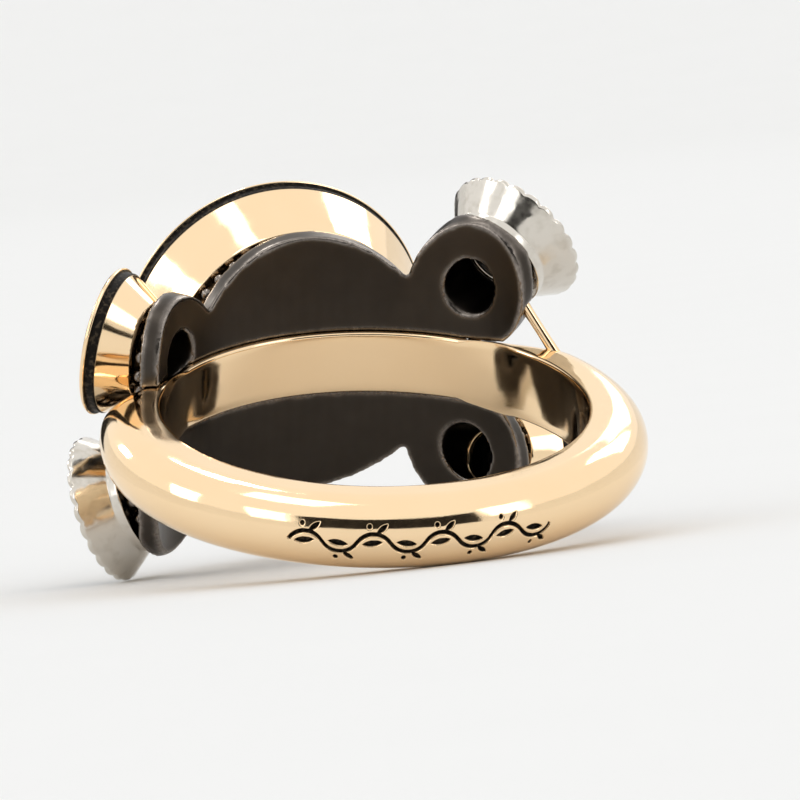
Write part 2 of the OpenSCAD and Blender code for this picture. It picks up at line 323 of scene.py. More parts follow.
def rose_gold_polished(colours, carved):
    """14 carat rose gold, buffed to a mirror. The eye sees a warm mirror whose reflections are
    a little soft where the wheel left haze, with hair-fine wear from the finger. Carved strokes
    and turned grooves, where the "carved" attribute is 1, hold black patina. In the groove
    under a setting's lip, that black is also painted shade."""
    material, tree = new_material("rose_gold_carved" if carved else "rose_gold_polished")
    here = add(tree, "ShaderNodeTexCoord").outputs["Object"]
    # Buffing haze in soft patches about 0.8 mm across
    haze = add(tree, "ShaderNodeTexNoise", {"Vector": here, "Scale": 1.25 / MM, "Detail": 3})
    hazy = {"Value": haze, "From Min": 0.3, "From Max": 0.7, "To Min": 0.045, "To Max": 0.11}
    rough = add(tree, "ShaderNodeMapRange", hazy)
    # Copper-rich and copper-poor tone of the alloy's skin, 2 mm across and very faint
    tone = add(tree, "ShaderNodeTexNoise", {"Vector": here, "Scale": 0.5 / MM, "Detail": 2})
    warm = linear(colours.rose_gold)
    cool = [warm[0] * 0.985, warm[1] * 0.965, warm[2] * 0.93, 1]
    alloy = add(tree, "ShaderNodeMix", {"Factor": tone, "A": warm, "B": cool}, data_type="RGBA")
    # Hair-fine wear, 0.05 mm, drawn coarser than the real 0.01 mm so that it shows
    hairs = {"Vector": here, "Scale": 20 / MM, "Detail": 2, "Roughness": 0.6}
    wear = add(tree, "ShaderNodeTexNoise", hairs)
    bump = add(tree, "ShaderNodeBump", {"Height": wear, "Strength": 0.05, "Distance": 0.01 * MM})
    # Hand buffing leaves soft waves 2 mm long, which bend the reflections
    waves = add(tree, "ShaderNodeTexNoise", {"Vector": here, "Scale": 0.5 / MM, "Detail": 1})
    wavy = {"Height": waves, "Strength": 0.5, "Distance": 0.06 * MM, "Normal": bump}
    bump = add(tree, "ShaderNodeBump", wavy)
    if carved:
        # Hairlines that the buff left along the band, 1 mm long. They are drawn 0.05 mm wide,
        # five times their real width, so that they show.
        wrap = add(tree, "ShaderNodeUVMap", uv_map="unrolled")
        narrow = {0: wrap, 1: (1.0, 20.0, 1.0)}
        drawn_out = add(tree, "ShaderNodeVectorMath", narrow, operation="MULTIPLY")
        lines = add(tree, "ShaderNodeTexNoise", {"Vector": drawn_out, "Scale": 1.0, "Detail": 3})
        buffed = {"Height": lines, "Strength": 0.06, "Distance": 0.01 * MM, "Normal": bump}
        bump = add(tree, "ShaderNodeBump", buffed)
    cut = add(tree, "ShaderNodeAttribute", attribute_name="carved").outputs["Fac"]
    # All but the shallow edge of a cut is black
    stroke = add(tree, "ShaderNodeMapRange", {"Value": cut, "From Min": 0.12, "From Max": 0.5})
    # Patina sits unevenly in the cuts, so some of their floors glint
    grain = add(tree, "ShaderNodeTexNoise", {"Vector": here, "Scale": 6 / MM, "Detail": 2})
    uneven = {"Value": grain, "From Min": 0.34, "From Max": 0.5, "To Min": 0.95, "To Max": 1.0}
    hold = add(tree, "ShaderNodeMapRange", uneven)
    black = add(tree, "ShaderNodeMath", {0: stroke, 1: hold}, operation="MULTIPLY")
    patina = linear(colours.patina)
    skin = add(tree, "ShaderNodeMix", {"Factor": black, "A": alloy, "B": patina}, data_type="RGBA")
    shader = add(
        tree,
        "ShaderNodeBsdfPrincipled",
        {
            "Base Color": skin,
            "Metallic": add(tree, "ShaderNodeMapRange", {"Value": black, "To Min": 1.0, "To Max": 0.35}),
            "Roughness": add(tree, "ShaderNodeMix", {"Factor": black, "A": rough, "B": 0.5}),
            # The low specular level only reaches the patina, which isn't metal
            "Specular IOR Level": 0.1,
            "Normal": bump,
        },
    )
    add(tree, "ShaderNodeOutputMaterial", {"Surface": shader})
    return material


def white_metal_polished(colours):
    """Sterling silver, turned and then polished by hand. The eye sees a grey mirror with faint
    marks of the tool and patches of tarnish."""
    material, tree = new_material("white_metal_polished")
    here = add(tree, "ShaderNodeTexCoord").outputs["Object"]
    # Haze of the hand polish, 0.6 mm across
    haze = add(tree, "ShaderNodeTexNoise", {"Vector": here, "Scale": 1.6 / MM, "Detail": 3})
    hazy = {"Value": haze, "From Min": 0.3, "From Max": 0.7, "To Min": 0.1, "To Max": 0.2}
    rough = add(tree, "ShaderNodeMapRange", hazy)
    # Tarnish in patches 0.5 mm across
    dull = add(tree, "ShaderNodeTexNoise", {"Vector": here, "Scale": 2 / MM, "Detail": 4})
    patches = {"Value": dull, "From Min": 0.5, "From Max": 0.8, "To Max": 0.5}
    spots = add(tree, "ShaderNodeMapRange", patches)
    clean = linear(colours.white_metal)
    tarnished = [clean[0] * 0.62, clean[1] * 0.58, clean[2] * 0.52, 1]
    metal = add(tree, "ShaderNodeMix", {"Factor": spots, "A": clean, "B": tarnished}, data_type="RGBA")
    # Tool marks, drawn 0.07 mm wide so that they show
    marks = add(tree, "ShaderNodeTexNoise", {"Vector": here, "Scale": 15 / MM, "Detail": 2})
    bump = add(tree, "ShaderNodeBump", {"Height": marks, "Strength": 0.08, "Distance": 0.01 * MM})
    surface = {"Metallic": 1.0, "Base Color": metal, "Roughness": rough, "Normal": bump}
    shader = add(tree, "ShaderNodeBsdfPrincipled", surface)
    add(tree, "ShaderNodeOutputMaterial", {"Surface": shader})
    return material


def blackened_silver(colours):
    """Sterling silver blackened with liver of sulphur, then rubbed. The eye sees a dark satin
    metal whose high edges and bead tops are rubbed back to grey. Its recesses are painted
    blacker, partly patina and partly painted shade. The piece's "rubbed" attribute says how
    far each point stands out, from -1 to 1."""
    material, tree = new_material("blackened_silver_rubbed")
    here = add(tree, "ShaderNodeTexCoord").outputs["Object"]
    stands_out = add(tree, "ShaderNodeAttribute", attribute_name="rubbed").outputs["Fac"]
    # Cast skin with a grain of 0.15 mm, which also breaks up the rubbed edges
    skin_grain = {"Vector": here, "Scale": 6.5 / MM, "Detail": 5, "Roughness": 0.6}
    grain = add(tree, "ShaderNodeTexNoise", skin_grain)
    broken = {"Value": grain, "From Min": 0.3, "From Max": 0.6, "To Min": 0.45, "To Max": 1.0}
    breaks = add(tree, "ShaderNodeMapRange", broken)
    rub = {"operation": "MULTIPLY", "use_clamp": True}
    bare = add(tree, "ShaderNodeMath", {0: stands_out, 1: breaks}, **rub)
    # Points sunk below their surroundings are painted black, partly patina and partly painted shade
    recess_patina_and_shade = add(tree, "ShaderNodeMath", {0: stands_out, 1: -1.0}, **rub)
    # Cloudy tone of the sulphide, 1 mm across. It is black in the recesses, as patina and painted
    # shade, and grey where it is rubbed
    cloud = add(tree, "ShaderNodeTexNoise", {"Vector": here, "Scale": 1 / MM, "Detail": 3})
    even = linear(colours.blackening)
    metal = [v * 0.7 for v in even[:3]] + [1]
    metal = add(tree, "ShaderNodeMix", {"Factor": cloud, "A": even, "B": metal}, data_type="RGBA")
    for share, tone in ((recess_patina_and_shade, colours.patina), (bare, colours.rubbed_silver)):
        layer = {"Factor": share, "A": metal, "B": linear(tone)}
        metal = add(tree, "ShaderNodeMix", layer, data_type="RGBA")
    rough = add(tree, "ShaderNodeMapRange", {"Value": bare, "To Min": 0.3, "To Max": 0.2})
    bump = add(tree, "ShaderNodeBump", {"Height": grain, "Strength": 0.12, "Distance": 0.02 * MM})
    surface = {"Metallic": 1.0, "Base Color": metal, "Roughness": rough, "Normal": bump}
    shader = add(tree, "ShaderNodeBsdfPrincipled", surface)
    add(tree, "ShaderNodeOutputMaterial", {"Surface": shader})
    return material


def black_diamond(colours):
    """Opaque black diamond, facets lapped flat. The eye sees a black mirror that keeps hard
    white glints, with pits and grey carbon specks about a tenth of a millimetre across."""
    material, tree = new_material("black_diamond_lapped")
    here = add(tree, "ShaderNodeTexCoord").outputs["Object"]
    cells = {"Vector": here, "Scale": 9 / MM, "Randomness": 1.0}
    specks = add(tree, "ShaderNodeTexVoronoi", cells)
    core = {"Value": specks, "From Min": 0.08, "From Max": 0.16, "To Min": 1.0, "To Max": 0.0}
    pit = add(tree, "ShaderNodeMapRange", core)
    # The specks come in clouds 1.4 mm across
    cloud = add(tree, "ShaderNodeTexNoise", {"Vector": here, "Scale": 0.7 / MM, "Detail": 4})
    clouded = {"Value": cloud, "From Min": 0.55, "From Max": 0.8, "To Max": 0.6}
    grey = add(tree, "ShaderNodeMapRange", clouded)
    shown = add(tree, "ShaderNodeMath", {0: pit, 1: grey}, operation="MULTIPLY")
    tones = {"Factor": shown, "A": linear(colours.stone), "B": linear(colours.carbon)}
    body = add(tree, "ShaderNodeMix", tones, data_type="RGBA")
    rough = add(tree, "ShaderNodeMapRange", {"Value": shown, "To Min": 0.025, "To Max": 0.3})
    # Pits a few micrometres deep
    bump = add(tree, "ShaderNodeBump", {"Height": pit, "Strength": 0.15, "Distance": 0.004 * MM})
    # The index of refraction is diamond's. The specular level is held low, because the pale
    # studio lies in every facet and would turn them grey.
    surface = {"Base Color": body, "Roughness": rough, "Normal": bump}
    surface |= {"IOR": 2.42, "Specular IOR Level": 0.12}
    shader = add(tree, "ShaderNodeBsdfPrincipled", surface)
    add(tree, "ShaderNodeOutputMaterial", {"Surface": shader})
    return material


def painted_floor(colours):
    """Matt emulsion on a studio sweep. The eye sees an even pale surface with the faintest
    roller mottle, 17 mm across."""
    material, tree = new_material("matt_emulsion")
    here = add(tree, "ShaderNodeTexCoord").outputs["Object"]
    mottle = add(tree, "ShaderNodeTexNoise", {"Vector": here, "Scale": 0.06 / MM, "Detail": 4})
    pale = linear(colours.floor)
    paler = [min(1.0, v * 1.015) for v in pale[:3]] + [1]
    paint = add(tree, "ShaderNodeMix", {"Factor": mottle, "A": pale, "B": paler}, data_type="RGBA")
    surface = {"Base Color": paint, "Roughness": 0.85, "Specular IOR Level": 0.15}
    shader = add(tree, "ShaderNodeBsdfPrincipled", surface)
    add(tree, "ShaderNodeOutputMaterial", {"Surface": shader})
    return material


def matt_black_card(colours):
    """Matt black paper, which the metals mirror as a dark edge."""
    material, tree = new_material("black_card")
    surface = {"Base Color": linear(colours.card), "Roughness": 0.9}
    shader = add(tree, "ShaderNodeBsdfPrincipled", surface)
    add(tree, "ShaderNodeOutputMaterial", {"Surface": shader})
    return material


# The band. Millimetres in this section, turned into metres when the mesh is made.


def soft_min(a, b, k):
    """The smaller of two arrays, blended where they are within k of each other."""
    h = np.clip(0.5 + 0.5 * (b - a) / k, 0, 1)
    return b * (1 - h) + a * h - k * h * (1 - h)


def leaf_inside(x, y, leaf):
    """How far inside a pointed leaf along +X a point is; negative outside."""
    bow_radius = (leaf.length**2 / 4 + leaf.width**2 / 4) / leaf.width
    rise = bow_radius - leaf.width / 2
    upper = bow_radius - np.hypot(x - leaf.length / 2, y - rise)
    lower = bow_radius - np.hypot(x - leaf.length / 2, y + rise)
    return np.minimum(upper, lower)


def seen_from(x, y, leaf):
    """Points as seen from a leaf's foot and along its turn."""
    c, s = math.cos(math.radians(leaf.turn)), math.sin(math.radians(leaf.turn))
    x, y = x - leaf.x, y - leaf.y
    return x * c + y * s, y * c - x * s


def half_wave_inside(x, y, step):
    """How far inside one half wave of the vine a point is: stem, two leaves and a bud."""
    half_turn = math.radians(60)
    r = step / 2 / math.sin(half_turn)
    drop = r * math.cos(half_turn)
    # The stem swells towards its crest, because its inner arc lies lower than its outer one
    outer_swell, inner_swell, inner_drop, overlap = 0.06, 0.04, 0.06, 0.02
    outer = r + outer_swell - np.hypot(x, y + drop)
    inner = np.hypot(x, y + drop + inner_drop) - (r - inner_swell)
    ends = math.sin(half_turn) * (y + drop) - math.cos(half_turn) * np.abs(x)
    stem = np.minimum(np.minimum(outer, inner), ends + overlap)
    leaves = [leaf_inside(*seen_from(x, y, leaf), leaf) for leaf in LEAVES]
    bud_x, bud_y, bud_radius = -0.16, 0.62, 0.09
    bud = bud_radius - np.hypot(x - bud_x, y - bud_y)
    return np.maximum.reduce([stem, *leaves, bud])


def vine_depth(along, across, sizes):
    """Depth of the carving as a share of the full depth, for points on the unrolled band."""
    step = sizes.wave_step / MM
    inside = np.full_like(along, -1.0)
    for i in range(sizes.half_waves):
        middle = (i - (sizes.half_waves - 1) / 2) * step
        x, y = along - middle, across * (-1 if i % 2 else 1)
        near = np.abs(x) < step
        inside[near] = np.maximum(inside[near], half_wave_inside(x[near], y[near], step))
    # The graver's cut: a little wider than its outline, with steep walls that round into a floor
    overcut, wall_width = 0.012, 0.075
    share = np.clip((inside + overcut) / wall_width, 0, 1)
    return 1 - (1 - share) ** 2


def band_radius(phi, z, b):
    """Outer radius of the uncarved band at an angle from its back and a height."""
    dome = b["dome"]
    bulge = np.sqrt(np.clip(dome**2 - z**2, 0, None))
    full = b["outer"] - dome + bulge
    theta = math.pi - np.abs(phi)
    disc = b["thin_r"] - dome + bulge
    thinned = -b["shift"] * np.cos(theta) + np.sqrt(disc**2 - (b["shift"] * np.sin(theta)) ** 2)
    shoulder_blend, strap_blend = 0.12, 0.05
    body = soft_min(full, thinned, shoulder_blend)
    # The strap has a flat dome, and past its edges it falls away at a steep slope
    flat_dome, slope = 2.0, 4
    half = b["strap_w"] / 2
    strap_bulge = np.sqrt(flat_dome**2 - np.minimum(np.abs(z), half) ** 2)
    strap = b["bore"] + b["strap_t"] - flat_dome + strap_bulge
    strap = strap - slope * np.clip(np.abs(z) - half, 0, None)
    return -soft_min(-body, -strap, strap_blend)


def band_half_width(phi, b):
    """Half of the band's width at an angle from its back."""
    theta = math.pi - np.abs(phi)
    least_wall = 0.05
    least = b["bore"] + least_wall
    disc = np.hypot(least + b["shift"] * np.cos(theta), b["shift"] * np.sin(theta))
    k = np.clip(disc - (b["thin_r"] - b["dome"]), 0, b["dome"])
    return np.maximum(np.sqrt(b["dome"] ** 2 - k**2), b["strap_w"] / 2)


def band_values(sizes):
    """The band's sizes in millimetres, with those worked out from them. A larger disc, shifted
    towards the back, thins the band towards the head."""
    outer = (sizes.bore_radius + sizes.thickness) / MM
    shift = 5.5
    return {
        "bore": sizes.bore_radius / MM,
        "outer": outer,
        "dome": sizes.width / MM / 2,
        "shift": shift,
        "thin_r": math.hypot(
            outer * math.sin(sizes.full_until), outer * math.cos(sizes.full_until) + shift
        ),
        "strap_t": sizes.strap_thickness / MM,
        "strap_w": sizes.strap_width / MM,
        "edge": sizes.edge_radius / MM,
    }


def band_surface(sizes):
    """Vertices, faces, carving and unrolled place of the band, as arrays."""
    b = band_values(sizes)
    # Sections round the ring: close ones along the vine and a little past it, wider ones elsewhere
    past_vine, fine, coarse = 0.25, math.radians(0.11), math.radians(1.5)
    reach = (sizes.half_waves / 2 * sizes.wave_step / MM + past_vine) / b["outer"]
    low, high = sizes.carve_turn - reach, sizes.carve_turn + reach
    phi = np.concatenate(
        [
            np.linspace(-math.pi, low, round((low + math.pi) / coarse), endpoint=False),
            np.arange(low, high, fine),
            np.linspace(high, math.pi, round((math.pi - high) / coarse)),
        ]
    )
    # Points across the dome: close ones as high as the vine, wider ones down the shoulders
    carved_z, carved_points, shoulder_points = 0.86, 80, 13
    edge_angle = math.asin(carved_z / b["dome"])
    shoulder = np.sin(np.linspace(edge_angle, math.pi / 2, shoulder_points + 1))[1:]
    middle = np.linspace(-carved_z, carved_z, carved_points) / b["dome"]
    spread = np.concatenate([-shoulder[::-1], middle, shoulder])
    half = band_half_width(phi, b)
    z = half[:, None] * spread[None, :]
    rho = band_radius(phi[:, None], z, b)
    along = (phi[:, None] - sizes.carve_turn) * b["outer"] + 0 * z
    cut = vine_depth(along, z, sizes)
    rho = rho - cut * sizes.carve_depth / MM
    # Down the upper side, round the hole's edge, across the hole and up the lower side
    side_points, edge_points, bore_points, edge_share = 3, 4, 7, 0.6
    side = np.linspace(1, 0, side_points + 1)[1:]
    turn = np.linspace(0, math.pi / 2, edge_points + 1)[1:]
    edge = np.minimum(b["edge"], edge_share * (rho[:, -1] - b["bore"]))[:, None]
    top = rho[:, -1:]
    side_rho = b["bore"] + edge + (top - b["bore"] - edge) * side
    side_z = half[:, None] + 0 * side_rho
    edge_rho = b["bore"] + edge * (1 - np.sin(turn))
    edge_z = half[:, None] - edge * (1 - np.cos(turn))
    bore_z = (half[:, None] - edge) * np.linspace(1, -1, bore_points + 2)[1:-1]
    bore_rho = b["bore"] + 0 * bore_z
    rho = np.hstack([rho, side_rho, edge_rho, bore_rho, edge_rho[:, ::-1], side_rho[:, ::-1]])
    z = np.hstack([z, side_z, edge_z, bore_z, -edge_z[:, ::-1], -side_z[:, ::-1]])
    cut = np.hstack([cut, np.zeros((len(phi), rho.shape[1] - cut.shape[1]))])
    rows, columns = rho.shape
    place = np.stack([rho * np.sin(phi)[:, None], -rho * np.cos(phi)[:, None], z], axis=-1)
    i, j = np.meshgrid(np.arange(rows - 1), np.arange(columns), indexing="ij")
    following, above = (i + 1) % (rows - 1), (j + 1) % columns
    faces = [i * columns + j, following * columns + j, following * columns + above, i * columns + above]
    # Unrolled place in millimetres: along the band, and round its section
    step = np.hypot(np.diff(rho, axis=1, append=rho[:, :1]), np.diff(z, axis=1, append=z[:, :1]))
    round_section = np.hstack([np.zeros((rows, 1)), np.cumsum(step, axis=1)])
    u = phi * b["outer"]
    corners = [
        np.stack([u[i + di], round_section[i + di, j + dj]], axis=-1)
        for di, dj in ((0, 0), (1, 0), (1, 1), (0, 1))
    ]
    return (
        place[:-1].reshape(-1, 3),
        np.stack(faces, axis=-1).reshape(-1, 4),
        cut[:-1].reshape(-1),
        np.stack(corners, axis=2).reshape(-1, 2),
    )


def tube(path, radii, sides=20, round_steps=6):
    """Vertices and faces of a round wire along a path, with round ends, in the path's unit."""
    first = (path[1] - path[0]).normalized()
    last = (path[-1] - path[-2]).normalized()
    turns = [math.pi / 2 * k / round_steps for k in range(round_steps)]
    rings = [(path[0] - first * radii[0] * math.cos(a), first, radii[0] * math.sin(a)) for a in turns]
    for k, p in enumerate(path):
        before, after = path[max(k - 1, 0)], path[min(k + 1, len(path) - 1)]
        rings.append((p, (after - before).normalized(), radii[k]))
    for a in reversed(turns):
        rings.append((path[-1] + last * radii[-1] * math.cos(a), last, radii[-1] * math.sin(a)))
    vertices = []
    side_way = first.orthogonal().normalized()
    for centre, way, radius in rings:
        side_way = (side_way - way * side_way.dot(way)).normalized()
        other = way.cross(side_way)
        for k in range(sides):
            a = 2 * math.pi * k / sides
            vertices.append(centre + (side_way * math.cos(a) + other * math.sin(a)) * radius)
    return vertices, strips(len(rings), sides, ring=True)


def bow(a, b, sag, steps):
    """Points from a to b that sag off the straight line in the middle."""
    return [a.lerp(b, t) + sag * (4 * t * (1 - t)) for t in (k / (steps - 1) for k in range(steps))]


def fork_wires(sizes):
    """The two wires of a fork and the knot where they meet, each as (path, radii) in millimetres,
    for one side of the ring."""
    outer_foot, inner_foot = Vector((-8.88, 3.41, -0.95)), Vector((-6.02, 6.53, -0.6))
    meet = Vector((-7.55, 4.87, -3.4))
    # Each wire sags a little and is a sixth thinner in its middle
    sag, thinner, steps = Vector((-0.02, -0.02, 0.02)), 0.16, 9
    radius = sizes.wire_radius / MM
    radii = [radius * (1.0 - thinner * math.sin(math.pi * k / (steps - 1))) for k in range(steps)]
    wires = [(bow(foot, meet, sag, steps), radii) for foot in (outer_foot, inner_foot)]
    knot = [meet + Vector((0, 0, 0.12)), meet, meet - Vector((0, 0, 0.04))]
    return wires + [(knot, [0.26, 0.28, 0.27])]


class RING_OT_band(bpy.types.Operator):
    """Carves the gold band, with its vine, thinned shoulders and forked wires"""

    bl_idname = "ring.band"
    bl_label = "Carve the band"

    def execute(self, context):
        sizes, colours = context.scene.ring_band, context.scene.ring_finishes
        points, faces, cut, unrolled = band_surface(sizes)
        vertices, polygons = [Vector(p) for p in points], [tuple(f) for f in faces.tolist()]
        for turn in (Matrix.Identity(4), Matrix.Rotation(math.pi, 4, "Y")):
            for path, radii in fork_wires(sizes):
                wire, sides = tube(path, radii)
                start = len(vertices)
                vertices += [turn @ p for p in wire]
                polygons += [tuple(k + start for k in side) for side in sides]
        mesh = bpy.data.meshes.new("band_carved")
        mesh.from_pydata([LAY_DOWN @ (p * MM) for p in vertices], [], polygons)
        carved = mesh.attributes.new("carved", "FLOAT", "POINT")
        carved.data.foreach_set("value", np.append(cut, np.zeros(len(vertices) - len(cut))))
        wrap = mesh.uv_layers.new(name="unrolled")
        spare = np.zeros((len(mesh.loops) - len(unrolled), 2))
        wrap.data.foreach_set("uv", np.vstack([unrolled, spare]).reshape(-1))
        close_seams(mesh)
        mesh.shade_smooth()
        mesh.materials.append(rose_gold_polished(colours, carved=True))
        band = new_object("band_carved", mesh)
        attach(band, BODY)
        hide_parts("band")
        return {"FINISHED"}


def geometry_tree(name, made, inputs):
    """A Geometry Nodes tree with what it makes and with its named inputs, each given as a kind
    and a default; also the outputs of its input node."""
    tree = bpy.data.node_groups.new(name, "GeometryNodeTree")
    tree.interface.new_socket(name=made, in_out="OUTPUT", socket_type="NodeSocketGeometry")
    for label, (kind, default) in inputs.items():
        socket = tree.interface.new_socket(name=label, in_out="INPUT", socket_type="NodeSocket" + kind)
        if default is not None:
            socket.default_value = default
    return tree, add(tree, "NodeGroupInput").outputs


def finish_tree(tree, geometry, metal):
    """Ends a tree: its instances made real, shaded smooth and given their metal."""
    real = add(tree, "GeometryNodeRealizeInstances", {"Geometry": geometry})
    smooth = add(tree, "GeometryNodeSetShadeSmooth", {"Geometry": real})
    coloured = add(tree, "GeometryNodeSetMaterial", {"Geometry": smooth, "Material": metal})
    add(tree, "NodeGroupOutput", {0: coloured})


def run_tree(obj, tree, values):
    """Runs a tree on an object, with inputs set by their sockets' identifiers, and keeps the
    result as the object's plain mesh."""
    modifier = obj.modifiers.new(tree.name, "NODES")
    modifier.node_group = tree
    for item in tree.interface.items_tree:
        if item.item_type == "SOCKET" and item.in_out == "INPUT" and item.name in values:
            modifier[item.identifier] = values[item.name]
    plain_mesh(obj)


def turned_wall_tree():
    """Sweeps a setting's section round its axis, rounds its corners, notches the rim and marks
    the groove under the lip that holds patina, which there is also painted shade. Its sizes are
    in millimetres."""
    tree, given = geometry_tree(
        "turned_wall",
        "Wall",
        {
            "Section": ("Geometry", None),
            "Axis distance": ("Float", 1.0),
            "Corner radius": ("Float", 0.05),
            "Segments": ("Int", 160),
            "Notches": ("Int", 24),
            "Notch depth": ("Float", 0.0),
            "Notch foot": ("Float", 1.0),
            "Lobe turn": ("Float", 0.0),
            "Rim height": ("Float", 1.7),
            "Seat radius": ("Float", 2.5),
            "Groove low": ("Float", 0.0),
            "Groove high": ("Float", 0.0),
            "Metal": ("Material", None),
        },
    )
    section = add(tree, "GeometryNodeMeshToCurve", {"Mesh": given["Section"]})
    corners = {"Curve": section, "Count": 4, "Radius": given["Corner radius"], "Limit Radius": True}
    rounded = add(tree, "GeometryNodeFilletCurve", corners, mode="POLY")
    round_axis = {"Resolution": given["Segments"], "Radius": given["Axis distance"]}
    circle = add(tree, "GeometryNodeCurvePrimitiveCircle", round_axis, mode="RADIUS")
    swept = add(tree, "GeometryNodeCurveToMesh", {"Curve": circle, "Profile Curve": rounded})
    place = add(tree, "GeometryNodeInputPosition")
    xyz = add(tree, "ShaderNodeSeparateXYZ", {0: place}).outputs
    flat = add(tree, "ShaderNodeVectorMath", {0: place, 1: (1, 1, 0)}, operation="MULTIPLY")
    radius = add(tree, "ShaderNodeVectorMath", {0: flat}, operation="LENGTH")
    outside = add(tree, "ShaderNodeMath", {0: radius, 1: given["Seat radius"]}, operation="GREATER_THAN")
    # Notches round the rim, deepest half way between two lobes and at the very top
    turn = add(tree, "ShaderNodeMath", {0: xyz[1], 1: xyz[0]}, operation="ARCTAN2")
    from_lobe = add(tree, "ShaderNodeMath", {0: turn, 1: given["Lobe turn"]}, operation="SUBTRACT")
    half_count = add(tree, "ShaderNodeMath", {0: given["Notches"], 1: 0.5}, operation="MULTIPLY")
    phase = add(tree, "ShaderNodeMath", {0: from_lobe, 1: half_count}, operation="MULTIPLY")
    wave = add(tree, "ShaderNodeMath", {0: phase}, operation="COSINE")
    lobe = add(tree, "ShaderNodeMath", {0: wave}, operation="ABSOLUTE")
    between = add(tree, "ShaderNodeMath", {0: 1.0, 1: lobe}, operation="SUBTRACT")
    notch = add(tree, "ShaderNodeMath", {0: between, 1: 1.3}, operation="POWER")
    heights = {"Value": xyz[2], "From Min": given["Notch foot"], "From Max": given["Rim height"]}
    near_rim = add(tree, "ShaderNodeMapRange", heights)
    fade = add(tree, "ShaderNodeMath", {0: near_rim, 1: 2.0}, operation="POWER")
    shape = add(tree, "ShaderNodeMath", {0: notch, 1: fade}, operation="MULTIPLY")
    amount = add(tree, "ShaderNodeMath", {0: shape, 1: given["Notch depth"]}, operation="MULTIPLY")
    # A notch goes down and, outside the seat, inwards by 0.8 of that
    unit = add(tree, "ShaderNodeVectorMath", {0: flat}, operation="NORMALIZE")
    pull = add(tree, "ShaderNodeMath", {0: outside, 1: -0.8}, operation="MULTIPLY")
    inwards = add(tree, "ShaderNodeVectorMath", {0: unit, "Scale": pull}, operation="SCALE")
    down = add(tree, "ShaderNodeVectorMath", {0: inwards, 1: (0, 0, -1)}, operation="ADD")
    offset = add(tree, "ShaderNodeVectorMath", {0: down, "Scale": amount}, operation="SCALE")
    # The groove lies between two heights on the outside. Its black is patina and painted shade
    # under the lip
    above = add(tree, "ShaderNodeMath", {0: xyz[2], 1: given["Groove low"]}, operation="GREATER_THAN")
    below = add(tree, "ShaderNodeMath", {0: xyz[2], 1: given["Groove high"]}, operation="LESS_THAN")
    level = add(tree, "ShaderNodeMath", {0: above, 1: below}, operation="MULTIPLY")
    groove = add(tree, "ShaderNodeMath", {0: level, 1: outside}, operation="MULTIPLY")
    mark = {"Geometry": swept, "Name": "carved", "Value": groove}
    grooved = add(tree, "GeometryNodeStoreNamedAttribute", mark, data_type="FLOAT", domain="POINT")
    notched = add(tree, "GeometryNodeSetPosition", {"Geometry": grooved, "Offset": offset})
    finish_tree(tree, notched, given["Metal"])
    return tree


def wall_of(sizes, names):
    """A setting's wall in millimetres, from the names of its sizes."""
    return Wall(*(getattr(sizes, name) / MM for name in names.split()))


def rounded_lip(outer, inner, top, steps=8):
    """The top of a lip, rounded from its outer to its inner edge."""
    middle, half = (outer + inner) / 2, (outer - inner) / 2
    turns = [math.pi * k / steps for k in range(steps + 1)]
    return [(middle + half * math.cos(a), top - CROWN + CROWN * math.sin(a)) for a in turns]


def wall_section(wall, neck=0.0, flange=0.0):
    """A setting's wall cut through, as (radius, height) in millimetres, anticlockwise, with a
    neck under its lip or a flange round its foot."""
    section = [(wall.hole, 0), (wall.base + flange, 0)]
    if flange:
        flange_top, foot, foot_top = 0.3, flange * 0.3 + 0.12, 0.38
        section += [(wall.base + flange, flange_top), (wall.base + foot, foot_top)]
    under_lip = wall.height - LIP
    if neck:
        section += [(wall.rim - neck, under_lip - NECK), (wall.rim - neck, under_lip)]
    ledge_width, floor_narrower = 0.3, 0.4
    return [
        *section,
        (wall.rim, under_lip + neck / 2),
        *rounded_lip(wall.rim, wall.pocket, wall.height),
        (wall.pocket, wall.ledge),
        (wall.pocket - ledge_width, wall.ledge),
        (wall.base - floor_narrower, FLOOR),
        (wall.hole, FLOOR),
    ]


def split_long(outline, longest=0.12):
    """The same closed outline with its long sides cut into short ones."""
    points = []
    for a, b in zip(outline, outline[1:] + outline[:1]):
        parts = math.ceil(math.dist(a, b) / longest)
        points += [[p + (q - p) * k / parts for p, q in zip(a, b)] for k in range(parts)]
    return points


def neck_groove(wall):
    """Tree inputs that put patina into the neck under a wall's lip and a little past its ends,
    where that black is also painted shade under the lip.
    """
    past_low, past_high = 0.02, 0.04
    return {
        "Seat radius": wall.pocket + OUTSIDE,
        "Groove low": wall.height - LIP - NECK - past_low,
        "Groove high": wall.height - LIP + past_high,
    }


def turned_setting(name, section, place, tree, inputs):
    """One turned setting: its section swept round by the node tree, put in its place."""
    middle = sum(r for r, _ in section) / len(section)
    mesh = bpy.data.meshes.new(name)
    points = [(r - middle, -h, 0) for r, h in split_long(section)]
    count = len(points)
    mesh.from_pydata(points, [(k, (k + 1) % count) for k in range(count)], [])
    wall = new_object(name, mesh)
    run_tree(wall, tree, {"Axis distance": middle, **inputs})
    wall.data.transform(place @ Matrix.Scale(MM, 4))
    close_seams(wall.data)
    wall.modifiers.new("even_shading", "WEIGHTED_NORMAL").keep_sharp = True
    plain_mesh(wall)
    return wall


